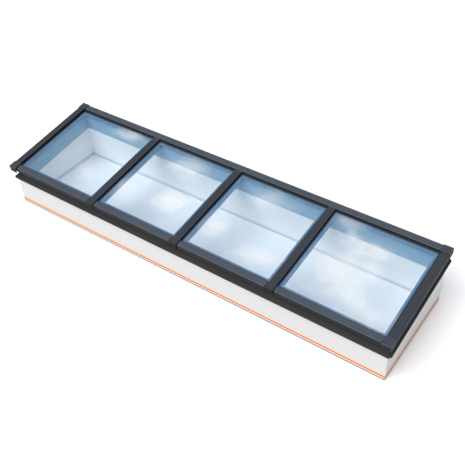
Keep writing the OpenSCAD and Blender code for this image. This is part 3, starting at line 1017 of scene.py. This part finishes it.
class Surround(Shader):
    """The nodes of the world that surrounds the object."""

    def __init__(self, world: bpy.types.World) -> None:
        """Starts an empty node tree.

        Args:
            world: The world.
        """
        self.tree = world.node_tree
        self.tree.nodes.clear()
        self.output = self.tree.nodes.new("ShaderNodeOutputWorld")
        self.coordinates = self.tree.nodes.new("ShaderNodeTexCoord")

    def glow(self, colour: Wire, strength: float) -> None:
        """Makes a colour the surround's light.

        Args:
            colour: The light's colour in each direction.
            strength: Its strength.
        """
        light = self.node("ShaderNodeBackground", {}, {"Color": colour, "Strength": strength})
        self.tree.links.new(light.socket, self.output.inputs["Surface"])


@dataclass
class Studio:
    """Floor, lights and camera."""

    floor_half: float = 30.0
    floor_tone: Colour = (0.93, 0.93, 0.935)
    floor_wear: float = 0.985
    floor_rough: float = 0.85
    spot: Triple = (3.23689, -3.90054, 4.67580)
    elevation: float = 41.806
    azimuth: float = 37.493
    roll: float = -2.979
    focal: float = 55.861
    sensor: float = 36.0
    sky_low: Colour = (0.22, 0.22, 0.225)
    sky_high: Colour = (0.90, 0.915, 0.945)
    sky_foot: float = -0.05
    sky_power: float = 1.0
    key_towards: Triple = (-1.4, -4.6, 6.4)
    key_spread: float = 46.0
    key_power: float = 2.35

    def floor(self) -> None:
        """Builds a flat pale floor: a square of one face with its middle at the origin."""
        corner = np.array([[-1, -1, 0], [1, -1, 0], [1, 1, 0], [-1, 1, 0]], float)
        mesh = bpy.data.meshes.new("studio_floor")
        mesh.from_pydata((corner * self.floor_half).tolist(), [], [(0, 1, 2, 3)])
        floor = bpy.data.objects.new("studio_floor", mesh)
        bpy.context.scene.collection.objects.link(floor)
        s = Shader("studio_floor")
        drift = s.noise(s.place(), 0.6, 2.0)
        worn = tuple(self.floor_wear * channel for channel in self.floor_tone)
        colour = s.tint(drift, self.floor_tone, worn)
        coat = s.coat(Base_Color=colour, Roughness=self.floor_rough)
        floor.data.materials.append(s.show(coat))

    def key(self) -> None:
        """Adds the key light: distant, even over the whole floor, and wide for soft shadows."""
        data = bpy.data.lights.new("key_light", "SUN")
        data.angle = math.radians(self.key_spread)
        data.energy = self.key_power
        light = bpy.data.objects.new("key_light", data)
        light.location = self.key_towards
        aim = (-Vector(self.key_towards)).to_track_quat("-Z", "Y")
        light.rotation_euler = aim.to_euler()
        bpy.context.scene.collection.objects.link(light)

    def lights(self) -> None:
        """Adds a plain surround that brightens towards the zenith, and the key light."""
        world = bpy.data.worlds.new("studio_surround")
        world.use_nodes = True
        surround = Surround(world)
        height = surround.node(
            "ShaderNodeSeparateXYZ",
            {},
            {0: Wire(surround, surround.coordinates.outputs["Generated"])},
            output=2,
        )
        colour = surround.tint(
            surround.ease(height, self.sky_foot, 1.0), self.sky_low, self.sky_high
        )
        surround.glow(colour, self.sky_power)
        bpy.context.scene.world = world
        self.key()

    def camera(self) -> None:
        """Adds the camera, aimed by azimuth and elevation, then rolled about its line of sight."""
        data = bpy.data.cameras.new("view")
        data.sensor_width = self.sensor
        data.lens = self.focal
        camera = bpy.data.objects.new("view", data)
        turn = Matrix.Rotation(math.radians(self.azimuth), 4, "Z")
        lift = Matrix.Rotation(math.radians(90 - self.elevation), 4, "X")
        roll = Matrix.Rotation(math.radians(self.roll), 4, "Z")
        camera.matrix_world = Matrix.Translation(self.spot) @ turn @ lift @ roll
        bpy.context.scene.collection.objects.link(camera)
        bpy.context.scene.camera = camera

    def tones(self) -> None:
        """Shows colours as they are, with no film curve, so that the pale floor stays white."""
        bpy.context.scene.view_settings.view_transform = "Standard"

    def build(self) -> None:
        """Builds the floor, the lights and the camera."""
        self.floor()
        self.lights()
        self.camera()
        self.tones()
        LOG.info("studio: floor, lights and camera")


def main() -> None:
    """Loads the frame, dresses and adds to each sub-assembly, and builds the studio."""
    logging.basicConfig(level=logging.INFO, format="%(name)s: %(message)s")
    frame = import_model()
    wardrobe = Wardrobe()
    for group in (Kerb, GlazedModules, Covers):
        part = group(frame, wardrobe)
        part.dress()
        part.build()
    Studio().build()


if __name__ == "__main__":
    main()
